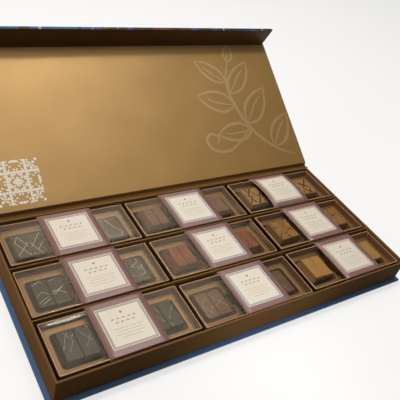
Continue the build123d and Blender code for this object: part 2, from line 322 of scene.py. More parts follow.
def slab(x, y, z, corner, ease):
    """A board with rounded corners and eased edges."""
    low = [(ease - px, z[0] + ease + pz) for px, pz in arc(0, 0, ease, 270, 360, 3)]
    high = [(ease - px, z[1] - ease + pz) for px, pz in arc(0, 0, ease, 0, 90, 3)]
    return lofted(profile_rings(x, y, corner, low + high), True, True)


def smooth_path(points, steps=6):
    """Extra points along a smooth curve through the given ones."""
    path = []
    ends = [points[0], *points, points[-1]]
    for a, b, c, d in zip(ends, ends[1:], ends[2:], ends[3:]):
        for k in range(steps):
            t = k / steps
            path.append(tuple(0.5 * (2 * q + (r - p) * t + (2 * p - 5 * q + 4 * r - s) * t * t
                                     + (3 * q - p - 3 * r + s) * t ** 3) for p, q, r, s in zip(a, b, c, d)))
    path.append(tuple(points[-1]))
    return path


def thicken(made, offset, rim=0):
    """Gives a bare sheet the paper's thickness; rim is the number of the finish on its cut edge."""
    thick = made.modifiers.new("paper", "SOLIDIFY")
    thick.thickness = PAPER * MM
    thick.offset = offset
    thick.material_offset_rim = rim


def ripple(x, y, size, depth, seed):
    """A smooth value between zero and depth over a surface, with hills about this far apart."""
    steep = 1.6
    value = noise.noise(Vector((x / size, y / size, seed)))
    return depth * 0.5 * (1 + max(-1.0, min(1.0, steep * value)))


# The open lid and flap
def turned(point, centre, angle):
    """A (y, z) point turned about a centre by an angle in degrees."""
    turn = math.radians(angle)
    y, z = point[0] - centre[0], point[1] - centre[1]
    return (centre[0] + y * math.cos(turn) - z * math.sin(turn),
            centre[1] + y * math.sin(turn) + z * math.cos(turn))


def on_lid(points):
    """Points of the closed lid, swung open."""
    return [(x, *turned((y, z), LID_HINGE, -LID_OPEN)) for x, y, z in points]


def on_flap(points):
    """Points of the closed flap, splayed and swung open with the lid."""
    return on_lid([(x, *turned((y, z), FLAP_HINGE, -FLAP_SPLAY)) for x, y, z in points])


# Finishes. Fibre, pits and scratches are really finer than the render's pixels, so their noises are
# drawn at 0.7 to 1.6 mm, as coarse as they need to show.
def gold_paper(name, light, deep, rough, metal, shine, painted_rim_tone=None):
    """Metallised paper, printed gold and satin varnished: a soft broad shine over a faint fibre grain."""
    made, tree = new_finish(name)
    place = add(tree, "ShaderNodeTexCoord").outputs["Object"]
    cloud = add(tree, "ShaderNodeTexNoise", {"Vector": place, "Scale": per(45), "Detail": 3.0})
    grain = add(tree, "ShaderNodeTexNoise", {"Vector": place, "Scale": per(0.9), "Detail": 2.0})
    peel = add(tree, "ShaderNodeTexNoise", {"Vector": place, "Scale": per(3.2), "Detail": 2.0})
    wave = add(tree, "ShaderNodeTexNoise", {"Vector": place, "Scale": per(24), "Detail": 2.0})
    base = add(tree, "ShaderNodeMix", {SHARE: cloud.outputs["Fac"], FIRST: ink(light), SECOND: ink(deep)},
               data_type="RGBA")
    if painted_rim_tone:
        # The rim's top has a painted tone of its own for how the light falls on it, but not at the rear,
        # where the hinge paper covers it
        painted_rim_low, painted_rim_high = RIM_TOP - 0.6, RIM_TOP - 0.1
        cover_front, cover_full = 83.0, 86.0
        at = add(tree, "ShaderNodeSeparateXYZ", {"Vector": place})
        rim = add(tree, "ShaderNodeMapRange", {"Value": at.outputs["Z"], "From Min": painted_rim_low * MM,
                                               "From Max": painted_rim_high * MM})
        ahead = add(tree, "ShaderNodeMapRange", {"Value": at.outputs["Y"], "From Min": cover_front * MM,
                                                 "From Max": cover_full * MM, "To Min": 1.0, "To Max": 0.0})
        painted_rim_mask = add(tree, "ShaderNodeMath", {0: rim.outputs["Result"], 1: ahead.outputs["Result"]},
                   operation="MULTIPLY")
        base = add(tree, "ShaderNodeMix", {SHARE: painted_rim_mask.outputs[0], FIRST: base.outputs[MIXED],
                                           SECOND: ink(painted_rim_tone)}, data_type="RGBA")
    fleck = add(tree, "ShaderNodeMapRange", {"Value": grain.outputs["Fac"], "From Min": 0.3, "From Max": 0.7,
                                             "To Min": rough - 0.05, "To Max": rough + 0.06})
    swell = add(tree, "ShaderNodeBump", {"Height": wave.outputs["Fac"], "Strength": 0.2, "Distance": 0.001})
    skin = add(tree, "ShaderNodeBump", {"Height": peel.outputs["Fac"], "Strength": 0.12, "Distance": 0.0004,
                                        "Normal": swell.outputs["Normal"]})
    bump = add(tree, "ShaderNodeBump", {"Height": grain.outputs["Fac"], "Strength": 0.08, "Distance": 0.0002,
                                        "Normal": skin.outputs["Normal"]})
    shader = add(tree, "ShaderNodeBsdfPrincipled", {
        "Base Color": base.outputs[MIXED], "Metallic": metal, "Roughness": fleck.outputs["Result"],
        "Specular IOR Level": shine, "Normal": bump.outputs["Normal"]})
    add(tree, "ShaderNodeOutputMaterial", {"Surface": shader.outputs[0]})
    return made


def gold_card():
    """Thin gold carton card: brown gold faces, and a lighter coppery cut edge round the rim."""
    made, tree = new_finish("metallised_carton_card")
    edge_low, edge_high = 26.1, 26.4
    place = add(tree, "ShaderNodeTexCoord").outputs["Object"]
    grain = add(tree, "ShaderNodeTexNoise", {"Vector": place, "Scale": per(1.2), "Detail": 3.0})
    face = add(tree, "ShaderNodeMix", {SHARE: grain.outputs["Fac"], FIRST: ink("#A87C52"),
                                       SECOND: ink("#90683F")}, data_type="RGBA")
    at = add(tree, "ShaderNodeSeparateXYZ", {"Vector": place})
    rim = add(tree, "ShaderNodeMapRange", {"Value": at.outputs["Z"], "From Min": edge_low * MM,
                                           "From Max": edge_high * MM})
    base = add(tree, "ShaderNodeMix", {SHARE: rim.outputs["Result"], FIRST: face.outputs[MIXED],
                                       SECOND: ink("#EFB98E")}, data_type="RGBA")
    bump = add(tree, "ShaderNodeBump", {"Height": grain.outputs["Fac"], "Strength": 0.08, "Distance": 0.0003})
    shader = add(tree, "ShaderNodeBsdfPrincipled", {
        "Base Color": base.outputs[MIXED], "Metallic": 0.15, "Roughness": 0.45,
        "Normal": bump.outputs["Normal"]})
    add(tree, "ShaderNodeOutputMaterial", {"Surface": shader.outputs[0]})
    return made


def formed_sheet():
    """Vacuum formed gold polystyrene: a smooth low shine, and soft clouds where the sheet was drawn thin."""
    made, tree = new_finish("formed_gold_polystyrene")
    place = add(tree, "ShaderNodeTexCoord").outputs["Object"]
    cloud = add(tree, "ShaderNodeTexNoise", {"Vector": place, "Scale": per(18), "Detail": 2.0})
    base = add(tree, "ShaderNodeMix", {SHARE: cloud.outputs["Fac"], FIRST: ink("#A87E50"),
                                       SECOND: ink("#966E44")}, data_type="RGBA")
    bump = add(tree, "ShaderNodeBump", {"Height": cloud.outputs["Fac"], "Strength": 0.1, "Distance": 0.001})
    shader = add(tree, "ShaderNodeBsdfPrincipled", {
        "Base Color": base.outputs[MIXED], "Metallic": 0.45, "Roughness": 0.4,
        "Normal": bump.outputs["Normal"]})
    add(tree, "ShaderNodeOutputMaterial", {"Surface": shader.outputs[0]})
    return made


def clear_sheet(name, left, right, span, rough, patch_mm=40):
    """Clear folded polyester: soft reflections under a thin pale veil, which on a lid's flat top is a static
    dusting and painted reflection haze, thicker towards one end, and on a fold the white of the stretched
    sheet and a painted highlight."""
    made, tree = new_finish(name)
    place = add(tree, "ShaderNodeTexCoord").outputs["Object"]
    wave = add(tree, "ShaderNodeTexNoise", {"Vector": place, "Scale": per(26), "Detail": 1.0})
    bump = add(tree, "ShaderNodeBump", {"Height": wave.outputs["Fac"], "Strength": 0.2, "Distance": 0.0015})
    gloss = add(tree, "ShaderNodeBsdfGlossy", {"Color": ink("#FFF6E6"), "Roughness": rough,
                                               "Normal": bump.outputs["Normal"]})
    through = add(tree, "ShaderNodeBsdfTransparent", {"Color": ink("#F0F1EE")})
    fresnel = add(tree, "ShaderNodeFresnel", {"IOR": 1.4, "Normal": bump.outputs["Normal"]})
    clear = add(tree, "ShaderNodeMixShader", {0: fresnel.outputs[0], 1: through.outputs[0],
                                              2: gloss.outputs[0]})
    at = add(tree, "ShaderNodeSeparateXYZ", {"Vector": place})
    laid = add(tree, "ShaderNodeMapRange", {"Value": at.outputs["X"], "From Min": span[0] * MM,
                                            "From Max": span[1] * MM, "To Min": left, "To Max": right})
    dust_and_painted_haze = add(tree, "ShaderNodeTexNoise", {"Vector": place, "Scale": per(patch_mm), "Detail": 3.0})
    patch = add(tree, "ShaderNodeMapRange", {"Value": dust_and_painted_haze.outputs["Fac"], "From Min": 0.35, "From Max": 0.65,
                                             "To Min": 0.6, "To Max": 1.4})
    veil = add(tree, "ShaderNodeMath", {0: laid.outputs["Result"], 1: patch.outputs["Result"]},
               operation="MULTIPLY")
    # The pale veil: a static dusting with painted reflection haze on a flat top, stretch whitening with a
    # painted highlight on a fold
    haze = add(tree, "ShaderNodeBsdfDiffuse", {"Color": ink("#E6D8BC")})
    mixed = add(tree, "ShaderNodeMixShader", {0: veil.outputs[0], 1: clear.outputs[0], 2: haze.outputs[0]})
    add(tree, "ShaderNodeOutputMaterial", {"Surface": mixed.outputs[0]})
    return made


def plain_paper(name, light, deep, rough, shine=0.5):
    """Uncoated or satin paper: flat colour broken by a fine fibre grain, with little shine."""
    made, tree = new_finish(name)
    place = add(tree, "ShaderNodeTexCoord").outputs["Object"]
    grain = add(tree, "ShaderNodeTexNoise", {"Vector": place, "Scale": per(0.8), "Detail": 4.0})
    base = add(tree, "ShaderNodeMix", {SHARE: grain.outputs["Fac"], FIRST: ink(light), SECOND: ink(deep)},
               data_type="RGBA")
    bump = add(tree, "ShaderNodeBump", {"Height": grain.outputs["Fac"], "Strength": 0.12, "Distance": 0.0002})
    shader = add(tree, "ShaderNodeBsdfPrincipled", {
        "Base Color": base.outputs[MIXED], "Roughness": rough, "Specular IOR Level": shine,
        "Normal": bump.outputs["Normal"]})
    add(tree, "ShaderNodeOutputMaterial", {"Surface": shader.outputs[0]})
    return made


def chocolate(name, light, deep, brushed=None, underneath=None, foot=19.0):
    """Moulded chocolate: waxy low shine, bloom clouds and tiny pits; powder brushed on some, and on some a
    foot of another chocolate, bare below a ragged line on the side that faces the front."""
    made, tree = new_finish(name)
    place = add(tree, "ShaderNodeTexCoord").outputs["Object"]
    cloud = add(tree, "ShaderNodeTexNoise", {"Vector": place, "Scale": per(7), "Detail": 3.0})
    pits = add(tree, "ShaderNodeTexNoise", {"Vector": place, "Scale": per(1.6), "Detail": 2.0})
    base = add(tree, "ShaderNodeMix", {SHARE: cloud.outputs["Fac"], FIRST: ink(light), SECOND: ink(deep)},
               data_type="RGBA")
    if brushed:
        brush_slant, brush_draw = 0.12, 0.22
        thin_powder, thick_powder = 0.05, 0.5
        drawn = add(tree, "ShaderNodeMapping", {"Vector": place, "Rotation": (0.0, 0.0, brush_slant),
                                                "Scale": (1.0, brush_draw, 1.0)})
        stroke = add(tree, "ShaderNodeTexNoise", {"Vector": drawn.outputs[0], "Scale": per(2.6),
                                                  "Detail": 3.0})
        powder = add(tree, "ShaderNodeMapRange", {
            "Value": stroke.outputs["Fac"], "From Min": 0.32, "From Max": 0.75, "To Min": thin_powder,
            "To Max": thick_powder})
        base = add(tree, "ShaderNodeMix", {SHARE: powder.outputs["Result"], FIRST: base.outputs[MIXED],
                                           SECOND: ink(brushed)}, data_type="RGBA")
    if underneath:
        # A face counts as lower the more it faces the front, so only the front falls below the line
        front_drop, rag = 12.0, 5.0
        bare_full, bare_end = foot - 9.8, foot - 8.6
        at = add(tree, "ShaderNodeSeparateXYZ", {"Vector": place})
        facing = add(tree, "ShaderNodeSeparateXYZ", {
            "Vector": add(tree, "ShaderNodeTexCoord").outputs["Normal"]})
        front = add(tree, "ShaderNodeMath", {0: facing.outputs["Y"], 1: front_drop * MM, 2: at.outputs["Z"]},
                    operation="MULTIPLY_ADD")
        ragged = add(tree, "ShaderNodeTexNoise", {"Vector": place, "Scale": per(4.5), "Detail": 2.0})
        edge = add(tree, "ShaderNodeMath", {0: ragged.outputs["Fac"], 1: rag * MM, 2: front.outputs[0]},
                   operation="MULTIPLY_ADD")
        coated = add(tree, "ShaderNodeMapRange", {"Value": edge.outputs[0], "From Min": bare_full * MM,
                                                  "From Max": bare_end * MM})
        base = add(tree, "ShaderNodeMix", {SHARE: coated.outputs["Result"], FIRST: ink(underneath),
                                           SECOND: base.outputs[MIXED]}, data_type="RGBA")
    bump = add(tree, "ShaderNodeBump", {"Height": pits.outputs["Fac"], "Strength": 0.05, "Distance": 0.0003})
    shader = add(tree, "ShaderNodeBsdfPrincipled", {
        "Base Color": base.outputs[MIXED], "Roughness": 0.45, "IOR": 1.46, "Normal": bump.outputs["Normal"]})
    add(tree, "ShaderNodeOutputMaterial", {"Surface": shader.outputs[0]})
    return made


def printed_paper():
    """Offset printed cover paper under matt film: lozenges in blue, navy, dark red, cream and black."""
    made, tree = new_finish("offset_printed_cover_paper")
    patch_mm, eighth_turn, heart = 21.0, 0.785, 0.07
    flat = add(tree, "ShaderNodeUVMap", uv_map="printed_sheet").outputs[0]
    place = add(tree, "ShaderNodeTexCoord").outputs["Object"]
    slanted = add(tree, "ShaderNodeMapping", {"Vector": flat, "Rotation": (0.0, 0.0, eighth_turn)})
    patches = add(tree, "ShaderNodeTexVoronoi", {"Vector": slanted.outputs[0], "Scale": 1 / patch_mm,
                                                 "Randomness": 0.45},
                  distance="CHEBYCHEV", voronoi_dimensions="2D")
    share = add(tree, "ShaderNodeSeparateColor", {0: patches.outputs["Color"]})
    inks = add(tree, "ShaderNodeValToRGB", {0: share.outputs[0]})
    inks.color_ramp.interpolation = "CONSTANT"
    while len(inks.color_ramp.elements) < len(PATCH_INKS):
        inks.color_ramp.elements.new(0.5)
    for stop, (start, code) in zip(inks.color_ramp.elements, PATCH_INKS):
        stop.position = start
        stop.color = ink(code)
    middle = add(tree, "ShaderNodeMath", {0: patches.outputs["Distance"], 1: heart}, operation="LESS_THAN")
    centred = add(tree, "ShaderNodeMix", {SHARE: middle.outputs[0], FIRST: inks.outputs[0],
                                          SECOND: ink("#C9BD9F")}, data_type="RGBA")
    grain = add(tree, "ShaderNodeTexNoise", {"Vector": place, "Scale": per(0.9), "Detail": 3.0})
    fibre = add(tree, "ShaderNodeMix", {SHARE: grain.outputs["Fac"], FIRST: ink("#FFFFFF"),
                                        SECOND: ink("#E2E2E6")}, data_type="RGBA")
    tone = add(tree, "ShaderNodeMix", {SHARE: 1.0, FIRST: centred.outputs[MIXED],
                                       SECOND: fibre.outputs[MIXED]}, data_type="RGBA", blend_type="MULTIPLY")
    bump = add(tree, "ShaderNodeBump", {"Height": grain.outputs["Fac"], "Strength": 0.08, "Distance": 0.0002})
    shader = add(tree, "ShaderNodeBsdfPrincipled", {
        "Base Color": tone.outputs[MIXED], "Roughness": 0.5, "Normal": bump.outputs["Normal"]})
    add(tree, "ShaderNodeOutputMaterial", {"Surface": shader.outputs[0]})
    return made


def greyboard():
    """Recycled greyboard: matt grey brown with darker flecks of pulp."""
    made, tree = new_finish("recycled_greyboard")
    place = add(tree, "ShaderNodeTexCoord").outputs["Object"]
    fleck = add(tree, "ShaderNodeTexNoise", {"Vector": place, "Scale": per(1.5), "Detail": 5.0})
    base = add(tree, "ShaderNodeMix", {SHARE: fleck.outputs["Fac"], FIRST: ink("#9A9184"),
                                       SECOND: ink("#7A7266")}, data_type="RGBA")
    bump = add(tree, "ShaderNodeBump", {"Height": fleck.outputs["Fac"], "Strength": 0.2, "Distance": 0.0003})
    shader = add(tree, "ShaderNodeBsdfPrincipled", {
        "Base Color": base.outputs[MIXED], "Roughness": 0.85, "Normal": bump.outputs["Normal"]})
    add(tree, "ShaderNodeOutputMaterial", {"Surface": shader.outputs[0]})
    return made


def bright_metal(name, colour, rough):
    """Plated or rolled metal: grey mirror softened by fine scratches."""
    made, tree = new_finish(name)
    softer = 0.08
    place = add(tree, "ShaderNodeTexCoord").outputs["Object"]
    scratch = add(tree, "ShaderNodeTexNoise", {"Vector": place, "Scale": per(0.7), "Detail": 2.0})
    spread = add(tree, "ShaderNodeMapRange", {"Value": scratch.outputs["Fac"], "To Min": rough - softer,
                                              "To Max": rough + softer})
    shader = add(tree, "ShaderNodeBsdfPrincipled", {
        "Base Color": ink(colour), "Metallic": 1.0, "Roughness": spread.outputs["Result"]})
    add(tree, "ShaderNodeOutputMaterial", {"Surface": shader.outputs[0]})
    return made


# The case
def build_tray(gold):
    """The tray's papered skin: eased rim, square floor."""
    (hx, hy), wall, ease = TRAY_HALF, TRAY_WALL, 0.55
    profile = [(0.35, LEDGE_TOP), (0.0, LEDGE_TOP + 0.35)]
    profile += [(ease - px, RIM_TOP - ease + pz) for px, pz in arc(0, 0, ease, 0, 90, 3)]
    profile += [(wall - ease - px, RIM_TOP - ease + pz) for px, pz in arc(0, 0, ease, 90, 180, 3)]
    profile += [(wall, FLOOR_TOP + 0.5), (wall + 0.5, FLOOR_TOP)]
    points, faces = lofted(profile_rings((-hx, hx), (-hy, hy), 0.8, profile, 3), True, True)
    skin = piece("tray_skin", points, faces, gold)
    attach(skin, "base_and_tray")
    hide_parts("tray_wrap")


def build_partitions(gold):
    """Two card strips with rounded tops between the rows."""
    low, high = box_mm("partitions")
    thick = 1.2
    half = thick / 2
    parts = []
    for y0 in (low[1], high[1] - thick):
        path = [(y0, low[2])] + [(y0 + half + py, high[2] - half + pz)
                                 for py, pz in arc(0, 0, half, 180, 0, 6)] + [(y0 + thick, low[2])]
        points, faces = swept(path, [low[0], high[0]])
        n = len(path)
        faces += [list(range(n)), [n + k for k in range(n)], [0, n - 1, 2 * n - 1, n]]
        parts.append((points, faces))
    points, faces = joined(parts)
    made = piece("partition_strips", points, faces, gold)
    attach(made, "base_and_tray")
    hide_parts("partitions")


def build_base(blue, printed):
    """Base and spine of the cover: one printed sheet around both boards, blue where it is turned in."""
    x = (-COVER_HALF, COVER_HALF)
    underside, rear = 0.4, SPINE_BACK - 0.3
    base = slab(x, (BASE_FRONT, TRAY_HALF[1]), (0.0, LEDGE_TOP), 1.2, 0.7)
    spine = slab(x, (TRAY_HALF[1], SPINE_BACK), (0.0, SPINE_TOP), 0.4, 0.35)
    points, faces = joined([base, spine])
    outside = []
    for face in faces:
        y, z = (sum(points[i][k] for i in face) / len(face) for k in (1, 2))
        outside.append(1 if z < underside or y > rear else 0)
    uv = [(p[0], p[1] if p[2] < 1 else SPINE_BACK + p[2]) for p in points]
    made = piece("base_and_spine_cover", points, faces, [blue, printed], outside, uv=uv)
    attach(made, "base_and_tray")
    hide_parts("base_cover_paper")


def lid_lift(x, y):
    """How far the lid's lining swells off its board, less near its edges."""
    glued, border, swell = 0.05, 9, 0.35
    edge = min(COVER_HALF - LINING_INSET - abs(x), y - LID_FRONT - LINING_INSET, LID_REAR - y)
    return glued + min(1.0, max(0.0, edge / border)) * ripple(x, y, 46.0, swell, 3.1)


def build_lid(gold, blue, printed):
    """Lid board in printed paper, and its gold lining."""
    x = (-COVER_HALF, COVER_HALF)
    points, faces = slab(x, (LID_FRONT, LID_REAR), (LID_UNDER, LID_TOP), 1.6, 0.8)
    outside = [1 if all(points[i][2] > LID_TOP - 0.5 for i in face) else 0 for face in faces]
    uv = [(p[0], p[1]) for p in points]
    made = piece("lid_cover", on_lid(points), faces, [blue, printed], outside, uv=uv)
    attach(made, "lid")
    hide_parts("lid_cover_paper")

    half = COVER_HALF - LINING_INSET
    xs = evenly(-half, 2 * half, 80)
    ys = evenly(LID_FRONT + LINING_INSET, LID_REAR - LID_FRONT - LINING_INSET, 36)
    points = [(px, py, LID_UNDER - lid_lift(px, py)) for px in xs for py in ys]
    made = piece("lid_lining_sheet", on_lid(points), sheet_faces(len(xs), len(ys)), gold)
    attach(made, "lid")
    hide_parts("lid_lining")


def lid_print(name, finish, shapes):
    """Flat printed shapes on the lid's lining, each a ring of (across, up from the hinge) points."""
    clear = 0.07
    points, faces = [], []
    for shape in shapes:
        faces.append(list(range(len(points), len(points) + len(shape))))
        points += [(x, LID_REAR - up, LID_UNDER - lid_lift(x, LID_REAR - up) - clear) for x, up in shape]
    made = piece(name, on_lid(points), faces, finish)
    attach(made, "lid")


def quilt_square(x0, up0, side, count):
    """Cells of a quilt square, alike in its four quarters: full squares, half squares and lozenges."""
    cell = side / count
    gap, patch = 0.04, 0.92
    kinds = ("full", "low half", "lozenge", "bare", "high half", "full", "bare")
    corners = {"full": ((0, 0), (1, 0), (1, 1), (0, 1)), "low half": ((0, 0), (1, 0), (0, 1)),
               "high half": ((1, 0), (1, 1), (0, 1)), "lozenge": ((0.5, 0), (1, 0.5), (0.5, 1), (0, 0.5))}
    shapes = []
    for i, j in itertools.product(range(count // 2), repeat=2):
        kind = kinds[(i * 3 + j * 3 + i * j) % len(kinds)]
        if kind == "bare":
            continue
        ring = [((i + gap + patch * a) * cell, (j + gap + patch * b) * cell) for a, b in corners[kind]]
        for flip_x, flip_up in itertools.product((0, 1), repeat=2):
            shapes.append([(x0 + (side - a if flip_x else a), up0 + (side - b if flip_up else b))
                           for a, b in ring])
    return shapes


def inked_line(way, width):
    """Quads along a smooth line, drawn out to a point at both ends."""
    finest = 0.12
    path = smooth_path(way, 7)
    sides = []
    for k, (x, up) in enumerate(path):
        (xa, ua), (xb, ub) = path[max(0, k - 1)], path[min(len(path) - 1, k + 1)]
        length = math.hypot(xb - xa, ub - ua) or 1.0
        half = 0.5 * width * max(finest, math.sin(math.pi * k / (len(path) - 1))) ** 0.5
        nx, nu = -(ub - ua) / length * half, (xb - xa) / length * half
        sides.append(((x + nx, up + nu), (x - nx, up - nu)))
    return [[a[0], b[0], b[1], a[1]] for a, b in zip(sides, sides[1:])]


def leaf_spray():
    """Lines of a spray of open leaves on a curving stem, with a curl at its foot."""
    stem = [(192, 14), (162, 28), (136, 54), (122, 88), (120, 120), (132, 148)]
    curl = [(134, 58), (112, 40), (90, 30), (70, 34), (64, 46), (72, 54), (82, 49), (79, 41)]
    leaves = (((162, 28), (200, 72), 14), ((136, 54), (82, 52), 13), ((132, 62), (176, 110), 15),
              ((122, 88), (70, 104), 15), ((121, 104), (162, 148), 13), ((120, 120), (82, 152), 11),
              ((132, 148), (142, 174), 7))
    stem_width, leaf_width, vein_width = 4.6, 3.8, 2.4
    shapes = inked_line(stem, stem_width)
    for (bx, bu), (tx, tu), belly in leaves:
        nx, nu = -(tu - bu), tx - bx
        length = math.hypot(nx, nu)
        nx, nu = nx / length * belly, nu / length * belly
        for side in (1, -1):
            bulge = [(bx + (tx - bx) * along + side * nx * out, bu + (tu - bu) * along + side * nu * out)
                     for along, out in ((0.28, 0.8), (0.66, 0.72))]
            shapes += inked_line([(bx, bu), *bulge, (tx, tu)], leaf_width)
        shapes += inked_line([(bx, bu), ((bx + tx) / 2 + nx * 0.12, (bu + tu) / 2 + nu * 0.12),
                              (tx - (tx - bx) * 0.25, tu - (tu - bu) * 0.25)], vein_width)
    shapes += inked_line(curl, leaf_width)
    return shapes


def build_flap(gold, printed):
    """Flap board in printed paper, and its gold lining, both a little bowed."""
    x = (-COVER_HALF, COVER_HALF)
    flat_points, faces = slab(x, (FLAP_FOOT, FLAP_TOP), (-FLAP_INNER, -FLAP_OUTER), 1.2, 0.9)

    def bowed(p):
        bow, lean = 0.45, 0.25
        share = (FLAP_TOP - p[1]) / (FLAP_TOP - FLAP_FOOT)
        return (p[0], -p[2] + bow * math.sin(math.pi * share) - lean * share, p[1])

    points = [bowed(p) for p in flat_points]
    uv = [(p[0], p[2]) for p in points]
    made = piece("flap_cover", on_flap(points), faces, [printed], uv=uv)
    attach(made, "flap")
    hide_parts("flap_cover_paper")

    half = COVER_HALF - LINING_INSET
    xs = evenly(-half, 2 * half, 60)
    zs = evenly(FLAP_FOOT + LINING_INSET, FLAP_TOP - FLAP_FOOT - LINING_INSET, 8)
    points = [bowed((px, pz, -FLAP_INNER - 0.05)) for px in xs for pz in zs]
    made = piece("flap_lining_sheet", on_flap(points), sheet_faces(len(xs), len(zs)), gold)
    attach(made, "flap")
    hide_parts("flap_lining")


def folded_sheet(name, path, half, finish, stands_for=None):
    """A strip of bare paper along X that bends between two bodies."""
    points, faces = swept(path, evenly(-half, 2 * half, 40))
    uv = [(p[0], SPINE_BACK + SPINE_TOP + k % len(path)) for k, p in enumerate(points)]
    made = piece(name, points, faces, finish, uv=uv)
    thicken(made, 0.0)
    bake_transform(made)
    if stands_for:
        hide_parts(stands_for)


def build_hinges(groove, gold, printed):
    """Bare paper across the folds: inside and outside of the lid's hinge and of the flap's. Each path runs
    from one body to the other, and the points between the spine and the lid lie in the open groove."""
    inner = COVER_HALF - LINING_INSET
    tray_rear = TRAY_HALF[1]

    def lid_point(y, z):
        return turned((y, z), LID_HINGE, -LID_OPEN)

    def flap_point(y, z):
        return lid_point(*turned((y, z), FLAP_HINGE, -FLAP_SPLAY))

    path = smooth_path([(tray_rear - 0.1, RIM_TOP - 0.9), (tray_rear + 0.7, RIM_TOP - 1.2),
                        (90.4, 26.6), (91.8, 25.9), (93.6, 26.3),
                        lid_point(LID_REAR + 0.4, LID_UNDER + 0.4),
                        lid_point(LID_REAR - 0.5, LID_UNDER - 0.12)])
    folded_sheet("hinge_lining", path, inner, groove, "hinge_papers")
    path = smooth_path([(SPINE_BACK - 0.1, SPINE_TOP - 0.8), (SPINE_BACK + 0.1, SPINE_TOP - 0.3),
                        (92.4, 25.2), (94.4, 25.7),
                        lid_point(LID_REAR + 0.3, LID_TOP - 0.1), lid_point(LID_REAR - 1.0, LID_TOP - 0.1)])
    folded_sheet("hinge_outside", path, COVER_HALF, printed)
    path = smooth_path([lid_point(LID_FRONT + LINING_INSET + 0.6, LID_UNDER - 0.1),
                        lid_point(LID_FRONT + 0.2, LID_UNDER - 0.1),
                        flap_point(FLAP_INNER + 0.15, FLAP_TOP - 0.1),
                        flap_point(FLAP_INNER + 0.1, FLAP_TOP - 1.2)])
    folded_sheet("fold_lining", path, inner, gold)
    path = smooth_path([lid_point(LID_FRONT + 1.2, LID_TOP - 0.1),
                        lid_point(LID_FRONT - 0.4, LID_TOP - 0.15),
                        lid_point(FLAP_OUTER + 1.0, LID_TOP - 0.6),
                        flap_point(FLAP_OUTER + 0.15, FLAP_TOP + 0.6),
                        flap_point(FLAP_OUTER + 0.1, FLAP_TOP - 1.0)])
    folded_sheet("fold_outside", path, COVER_HALF, printed)


# One small box
def build_carton(name, card):
    """A thin card box, open at the top, its edges a little eased."""
    low, high = box_mm(f"{name}_carton")
    wall, ease, floor = CARTON_WALL, 0.2, low[2] + 0.6
    profile = [(ease, low[2]), (0.0, low[2] + ease), (0.0, high[2] - ease), (ease, high[2]),
               (wall - ease, high[2]), (wall, high[2] - ease), (wall, floor + 0.1), (wall + 0.1, floor)]
    points, faces = lofted(profile_rings((low[0], high[0]), (low[1], high[1]), 0.9, profile, 3), True, True)
    made = piece(f"{name}_card_box", points, faces, card)
    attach(made, f"{name}_box")
    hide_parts(f"{name}_carton")


def wells_outline(cx, cy, grow):
    """Ring round the three wells and the two channels between them, grown outward by a little."""
    a, b = WELL_HALF[0] + grow, WELL_HALF[1] + grow
    r, c, f = WELL_CORNER + grow, CHANNEL_HALF + grow, max(0.25, CHANNEL_FILLET - grow)
    upper = []
    for number in (1, 0, -1):
        mx = number * WELL_PITCH
        if number < 1:
            upper += arc(mx + a + f, c + f, f, 270, 180, 4)
        upper += arc(mx + a - r, b - r, r, 0, 90, 5)
        upper += arc(mx - a + r, b - r, r, 90, 180, 5)
        if number > -1:
            upper += arc(mx - a - f, c + f, f, 0, -90, 4)
    lower = [(-x, -y) for x, y in upper]
    return [(cx + x, cy + y) for x, y in upper + lower]


def insert_mesh(low, high):
    """Flange, lips, channels and wells of the formed sheet, as one skin."""
    cx, cy = (low[0] + high[0]) / 2, (low[1] + high[1]) / 2
    top, lip, foot = high[2], 0.9, 1.6
    step_top = top - CHANNEL_DEPTH
    rings = [[(x, y, top - lip + lip * math.cos(math.radians(t))) for x, y in
              wells_outline(cx, cy, lip * (1 - math.sin(math.radians(t))))] for t in (0, 22, 45, 68, 90)]
    rings.append([(x, y, step_top) for x, y in wells_outline(cx, cy, 0.0)])
    work = bmesh.new()

    def put(mesh):
        made = [work.verts.new(p) for p in mesh[0]]
        for face in mesh[1]:
            work.faces.new([made[i] for i in face])
        return made

    def loop_edges(points):
        return [work.edges.get((a, b)) or work.edges.new((a, b))
                for a, b in zip(points, points[1:] + points[:1])]

    def filled(edges):
        bmesh.ops.triangle_fill(work, use_beauty=True, use_dissolve=True, edges=edges)

    skin = put(lofted(rings))
    count = len(rings[0])
    rim = [work.verts.new((x, y, top)) for x, y in outline((low[0], high[0]), (low[1], high[1]), 1.5)]
    filled(loop_edges(rim) + loop_edges(skin[:count]))
    step = loop_edges(skin[-count:])
    for number in (-1, 0, 1):
        x = (cx + number * WELL_PITCH - WELL_HALF[0], cx + number * WELL_PITCH + WELL_HALF[0])
        y = (cy - WELL_HALF[1], cy + WELL_HALF[1])
        profile = [(0.25, step_top), (0.4, step_top - 0.4), (0.5, WELL_BOTTOM + foot)]
        profile += [(0.5 + foot + px, WELL_BOTTOM + foot + pz) for px, pz in arc(0, 0, foot, 200, 270, 3)]
        wells = profile_rings(x, y, WELL_CORNER, profile, 5)
        made = put(lofted(wells, last=True))
        step += loop_edges(made[:len(wells[0])])
    filled(step)
    bmesh.ops.remove_doubles(work, verts=work.verts, dist=0.001)
    work.verts.index_update()
    points = [tuple(v.co) for v in work.verts]
    faces = [[v.index for v in face.verts] for face in work.faces]
    work.free()
    return points, faces


def build_insert(name, sheet):
    """The formed tray that holds the bars."""
    low, high = box_mm(f"{name}_insert")
    points, faces = insert_mesh(low, high)
    made = piece(f"{name}_formed_tray", points, faces, sheet, crease=50)
    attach(made, f"{name}_box")
    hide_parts(f"{name}_insert")


